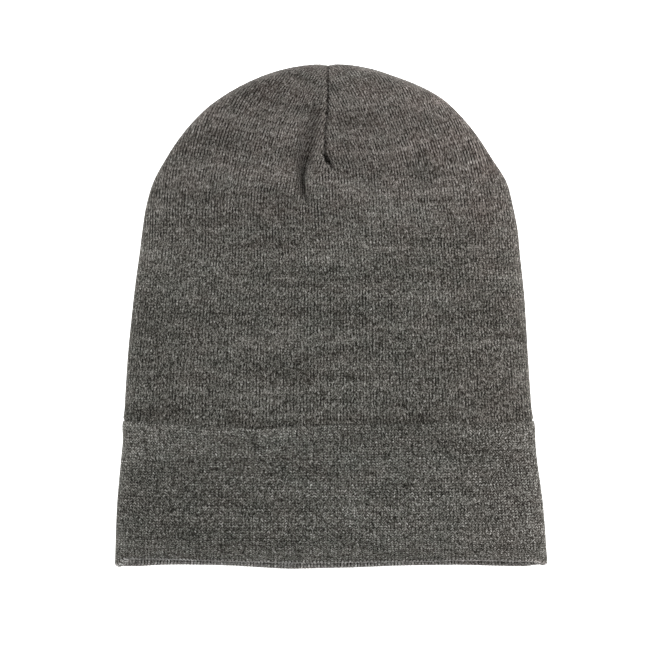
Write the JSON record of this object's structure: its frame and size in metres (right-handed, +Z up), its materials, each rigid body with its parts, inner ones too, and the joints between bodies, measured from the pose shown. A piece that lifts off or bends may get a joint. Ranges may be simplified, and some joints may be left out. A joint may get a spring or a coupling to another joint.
{
  "type": "knit hat",
  "caption": "Fine-knit beanie laid flat, with a darted crown closed at the top, a turned-up cuff all round and an open hollow for the head.",
  "frame": {"origin": "on the surface that the hat rests on, under the middle of its bounding box", "axes": "+X across the hat to the wearer's left as it lies face up, +Y along it from the rim to the top of the crown, +Z up out of the front face"},
  "size_m": [0.2206, 0.2575, 0.0241],
  "materials": {
    "crown_knit": "heather charcoal fine stockinette knit, matt",
    "cuff_knit": "heather charcoal fine stockinette knit, matt, turned up"
  },
  "bodies": {
    "root": {"crown": "crown_knit", "cuff": "cuff_knit"}
  },
  "joints": []
}
